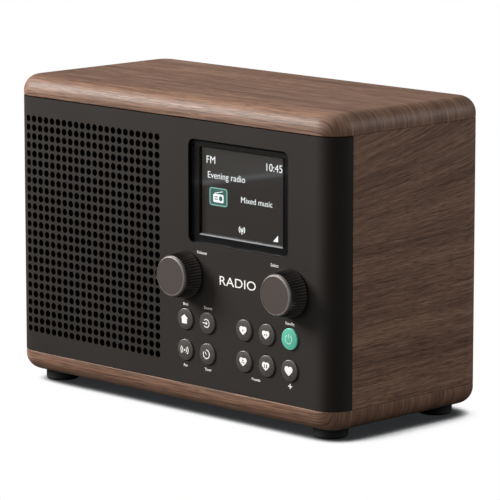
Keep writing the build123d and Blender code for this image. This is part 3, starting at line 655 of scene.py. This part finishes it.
def artwork(name, outlines, place, y, thickness, finish):
    """A thin plate of closed outlines about place (x, z). An outline inside another is a hole."""
    curve = bpy.data.curves.new(name, "CURVE")
    curve.dimensions = "2D"
    curve.fill_mode = "BOTH"
    curve.extrude = thickness / 2
    for outline in outlines:
        spline = curve.splines.new("POLY")
        spline.points.add(len(outline) - 1)
        for point, (across, up) in zip(spline.points, outline):
            point.co = (across * MM, up * MM, 0, 1)
        spline.use_cyclic_u = True
    return stood(name, curve, place, y, thickness, finish)


def lettering(name, words, height, place, y, thickness, finish, align="CENTER", stretch=1.0, bold=0.0):
    """Words in the plain built-in typeface, whose capitals are this high, each stroke fattened by bold."""
    curve = bpy.data.curves.new(name, "FONT")
    curve.body = words
    curve.size = height * MM / CAPITALS
    curve.space_character = 1.02
    curve.align_x = align
    curve.extrude = thickness / 2
    curve.offset = bold * MM
    made = stood(name, curve, place, y, thickness, finish)
    for vertex in made.data.vertices:
        vertex.co.x *= stretch
    return made


def stood(name, curve, place, y, thickness, finish):
    """Turns a flat curve into a mesh that stands on the plane at y.

    It reads from the front, or from behind if it is behind the middle of the radio.
    """
    flat = bpy.data.objects.new(name, curve)
    bpy.context.scene.collection.objects.link(flat)
    mesh = bpy.data.meshes.new_from_object(flat)
    bpy.data.objects.remove(flat)
    facing = 1 if y < 0 else -1
    for vertex in mesh.vertices:
        vertex.co = (facing * vertex.co.x, -facing * vertex.co.z, vertex.co.y)
    mesh.materials.clear()
    mesh.materials.append(finish)
    made = bpy.data.objects.new(name, mesh)
    made.location = (place[0] * MM, y - facing * thickness / 2, place[1] * MM)
    bpy.context.scene.collection.objects.link(made)
    return made


def crowned(piece, radius):
    """Bends flat artwork, centred on a button, to the button's domed face."""
    step = 0.5 * MM
    off_corner = 0.01 * MM  # keeps the cuts clear of the artwork's own corners
    shape = bmesh.new()
    shape.from_mesh(piece.data)
    for axis in ((1, 0, 0), (0, 0, 1)):
        for i in range(-8, 9):
            everything = shape.verts[:] + shape.edges[:] + shape.faces[:]
            point = Vector(axis) * (i * step + off_corner)
            bmesh.ops.bisect_plane(shape, geom=everything, plane_co=point, plane_no=axis, dist=1e-7)
    for vertex in shape.verts:
        reach = vertex.co.x ** 2 + vertex.co.z ** 2
        vertex.co.y += radius - math.sqrt(radius ** 2 - reach)
    shape.to_mesh(piece.data)
    shape.free()


def closed(name, vertices, faces, finish):
    """An object from its corners and faces, with every face turned outwards."""
    mesh = bpy.data.meshes.new(name)
    mesh.from_pydata(vertices, [], faces)
    shape = bmesh.new()
    shape.from_mesh(mesh)
    bmesh.ops.recalc_face_normals(shape, faces=shape.faces)
    shape.to_mesh(mesh)
    shape.free()
    mesh.materials.append(finish)
    made = bpy.data.objects.new(name, mesh)
    bpy.context.scene.collection.objects.link(made)
    return made


# ---------------------------------------------------------------- buttons, labels and screen

def numbered_heart(count):
    return [heart(4.3)] + [circle(0.38, place, 12) for place in dot_places(count)]


def icon_outlines():
    """The outlines of each button's symbol, about the middle of the button."""
    house = [(0, 2.2), (2.2, 0.4), (1.6, 0.4), (1.6, -1.9), (-1.6, -1.9), (-1.6, 0.4), (-2.2, 0.4)]
    arrow = [(-2.3, 0.2), (-0.2, 0.2), (-0.2, 0.85), (0.75, 0)]
    arrow += [(-0.2, -0.85), (-0.2, -0.2), (-2.3, -0.2)]
    hand = [(0.25, -0.1), (-0.1, -0.3), (-1.0, 1.1), (-0.7, 1.25)]
    return {
        "home": [house],
        "source": [band(1.95, 1.5, -140, 140), arrow],
        "standby": [band(2.1, 1.7, 118, 422), bar(-0.2, 0.2, 0.4, 2.3)],
        "pair": [circle(0.5), band(1.6, 1.2, -50, 50), band(1.6, 1.2, 130, 230),
                 band(2.5, 2.1, -45, 45), band(2.5, 2.1, 135, 225)],
        "timer": [band(2.1, 1.65, -205, 95), hand],
        "favourite": [heart(4.7)],
        **{f"preset_{count}": numbered_heart(count) for count in (1, 2, 3, 4)},
    }


def middle(node):
    """The middle of a CAD node's box."""
    low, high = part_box(node)
    return (low + high) / 2


def place_by(node, x, z):
    """The place (x, z), in millimetres, that lies this far from a node's middle."""
    centre = middle(node)
    return (centre.x / MM + x, centre.z / MM + z)


def make_icons(white, pale):
    """Each button's symbol, on the dome of its face."""
    for name, outlines in icon_outlines().items():
        node = f"button_{name}"
        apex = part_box(node)[0].y
        finish = pale if name == "standby" else white
        icon = artwork(f"icon_{name}", outlines, place_by(node, 0, 0), apex + 0.00002, 0.00008, finish)
        crowned(icon, DOME)
        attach(icon, node)


LABELS = (  # words, the control they name, how far from its middle in x and z, height, alignment
    ("Volume", "volume_knob", 6.8, 9.8, 1.35, "LEFT"),
    ("Select", "select_knob", -7.0, 9.8, 1.35, "RIGHT"),
    ("Back", "button_home", -0.2, 6.0, 1.2, "CENTER"),
    ("Source", "button_source", 0.0, 6.0, 1.2, "CENTER"),
    ("Standby", "button_standby", -0.2, 6.0, 1.2, "CENTER"),
    ("Pair", "button_pair", -0.2, -7.5, 1.2, "CENTER"),
    ("Timer", "button_timer", 0.0, -7.5, 1.2, "CENTER"),
    ("Presets", "button_preset_3", 6.8, -7.5, 1.2, "CENTER"),
)


def plus_outline(arm, half):
    """A plus sign whose bars reach arm from its middle and are twice half thick."""
    quarter = [(half, arm), (half, half), (arm, half)]
    turns = ((1, 0), (0, -1), (-1, 0), (0, 1))
    return [(x * c - z * s, x * s + z * c) for c, s in turns for x, z in quarter]


def make_labels(white):
    """The words on the front panel, the plus below the last button and the plain title."""
    for words, node, x, z, height, align in LABELS:
        place = place_by(node, x, z)
        name = f"label_{words.lower()}"
        label = lettering(name, words, height, place, FRONT, INK, white, align, bold=BOLD)
        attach(label, "cabinet")
    place = place_by("button_favourite", 0, -6.8)
    plus = artwork("label_plus", [plus_outline(1.1, 0.25)], place, FRONT, INK, white)
    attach(plus, "cabinet")
    place = (KNOBS_MIDDLE.x / MM, KNOBS_MIDDLE.z / MM - 2.1)
    title = lettering("label_radio", "RADIO", 3.9, place, FRONT, INK, white, stretch=1.3)
    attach(title, "cabinet")


SOCKET_LABELS = (("power_inlet", "DC 5 V"), ("aux_socket", "AUX IN"), ("headphone_socket", "PHONES"))


def make_socket_labels(grey):
    """Generic words over each socket on the back."""
    for node, words in SOCKET_LABELS:
        place = place_by(node, 0, 8.6)
        label = lettering(f"label_{node}", words, 1.7, place, COVER_Y, INK, grey, bold=BOLD)
        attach(label, "cabinet")


def turned(name, centre, axis, profile, finish):
    """A closed ring about the axis x or y. The profile's points are (distance along the axis, radius)."""
    steps = 48
    vertices = []
    for i in range(steps):
        turn = 2 * math.pi * i / steps
        for along, radius in profile:
            sides = (radius * math.cos(turn), radius * math.sin(turn))
            corner = (along, *sides) if axis == "x" else (sides[0], along, sides[1])
            vertices.append(Vector(corner) * MM)
    count = len(profile)
    faces = []
    for i in range(steps):
        here, ahead = i * count, (i + 1) % steps * count
        for j in range(count):
            after = (j + 1) % count
            faces.append((here + j, here + after, ahead + after, ahead + j))
    ring = closed(name, vertices, faces, finish)
    ring.location = centre
    return ring


def make_jack_rings(finish):
    """The bright threaded liner round each jack's bore."""
    profile = [(-0.4, 1.75), (0.2, 1.75), (0.3, 1.85), (0.3, 2.5), (0.15, 2.7), (-0.4, 2.7)]
    for node in ("aux_socket", "headphone_socket"):
        centre = middle(node)
        centre.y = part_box(node)[1].y
        ring = turned(f"{node}_ring", centre, "y", profile, finish)
        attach(ring, "cabinet")


TUBE_BODIES = ("antenna_arm", "antenna_section_2", "antenna_section_3", "antenna_section_4")


def make_tube_collars(finish):
    """The rolled end of each antenna tube, where the next one comes out."""
    for number, body in enumerate(TUBE_BODIES, 1):
        node = f"antenna_tube_{number}"
        low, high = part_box(node)
        radius = (high.z - low.z) / 2 / MM
        centre = middle(node)
        centre.x = low.x
        inner, edge, outer = radius - 0.1, radius + 0.04, radius + 0.12
        profile = [(0.0, inner), (0.0, edge), (0.1, outer), (0.7, outer), (0.8, edge), (0.8, inner)]
        collar = turned(f"{node}_collar", centre, "x", profile, finish)
        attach(collar, body)


SCREEN_WORDS = (  # name, words, how far from the display's middle in x and z, height, alignment
    ("screen_band", "FM", -22.8, 12.2, 3.3, "LEFT"),
    ("screen_clock", "10:45", 23.4, 12.6, 3.3, "RIGHT"),
    ("screen_station", "Evening radio", -22.0, 5.9, 2.9, "LEFT"),
    ("screen_programme", "Mixed music", -1.8, -2.8, 2.6, "LEFT"),
)


def make_screen(white, green, teal):
    """What the display shows: generic words, a time, a station tile and two signal marks."""
    pieces = []

    def show(name, outlines, place, finish, y=SCREEN_Y):
        pieces.append(artwork(name, outlines, place_by("lcd_panel", *place), y, INK, finish))

    for name, words, x, z, height, align in SCREEN_WORDS:
        place = place_by("lcd_panel", x, z)
        pieces.append(lettering(name, words, height, place, SCREEN_Y, INK, white, align, bold=-0.03))
    tile = (-15.2, -1.9)
    over = SCREEN_Y - INK
    edge = rounded(10.8, 7.8, 1.2)
    show("screen_tile", [edge], tile, teal)
    show("screen_tile_edge", [edge, rounded(9.9, 6.9, 0.8)], tile, green, over)
    aerial = [(-2.2, 1.3), (2.6, 2.4), (2.6, 2.7), (-2.4, 1.6)]
    body = [rounded(6.2, 3.6, 0.6, (0, -0.6)), circle(1.1, (1.4, -0.6)), aerial]
    body += [bar(-2.4, -0.4, -0.3, 0.2), bar(-2.4, -0.4, -1.3, -0.8)]
    show("screen_tile_radio", body, tile, white, over)
    waves = [band(1.0, 0.65, -60, 60), band(1.0, 0.65, 120, 240), band(1.9, 1.5, -50, 50)]
    waves += [band(1.9, 1.5, 130, 230), circle(0.35), bar(-0.2, 0.2, -2.0, -0.3)]
    show("screen_waves", waves, (-1.0, -14.5), white)
    show("screen_signal", [[(-1.4, -1.4), (1.4, -1.4), (1.4, 1.4)]], (19.2, -15.8), white)
    for piece in pieces:
        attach(piece, "cabinet")


def make_screen_ledge(finish):
    """The satin slope along the lower edge of the display's opening, with a painted highlight along the
    lip at its front.
    """
    half_width = 25.1
    drop = 19.15  # below the middle of the display
    left, foot = (distance * MM for distance in place_by("lcd_panel", -half_width, -drop))
    right = left + 2 * half_width * MM
    front = BORDER_Y + 0.0001
    back = SCREEN_Y - 0.00005
    top = foot + 0.0009
    profile = [(front, foot), (front, foot + 0.0002), (BORDER_Y + 0.0004, foot + 0.0004)]
    profile += [(SCREEN_Y - 0.0002, top), (back, top), (back, foot)]
    count = len(profile)
    vertices = [(x, y, z) for x in (left, right) for y, z in profile]
    faces = [tuple(range(count))[::-1], tuple(range(count, 2 * count))]
    faces += [(i, (i + 1) % count, (i + 1) % count + count, i + count) for i in range(count)]
    ledge = closed("screen_ledge", vertices, faces, finish)
    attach(ledge, "cabinet")


# ---------------------------------------------------------------- the scene

make_camera()
make_studio()
finishes = slot_materials()
dress_frame(finishes)
white_ink = printed("white_ink", (0.86, 0.85, 0.83))
make_icons(white_ink, printed("pale_ink", (0.45, 0.75, 0.66)))
make_labels(white_ink)
make_screen(
    white=glowing("screen_white", (0.86, 0.87, 0.86), 1.3),
    green=glowing("screen_green", (0.25, 0.55, 0.45)),
    teal=glowing("screen_teal", (0.01, 0.10, 0.075)),
)
make_screen_ledge(ledge_satin("ledge_satin"))
make_socket_labels(printed("grey_ink", (0.55, 0.54, 0.53)))
make_jack_rings(finishes["steel"])
make_tube_collars(finishes["chrome"])
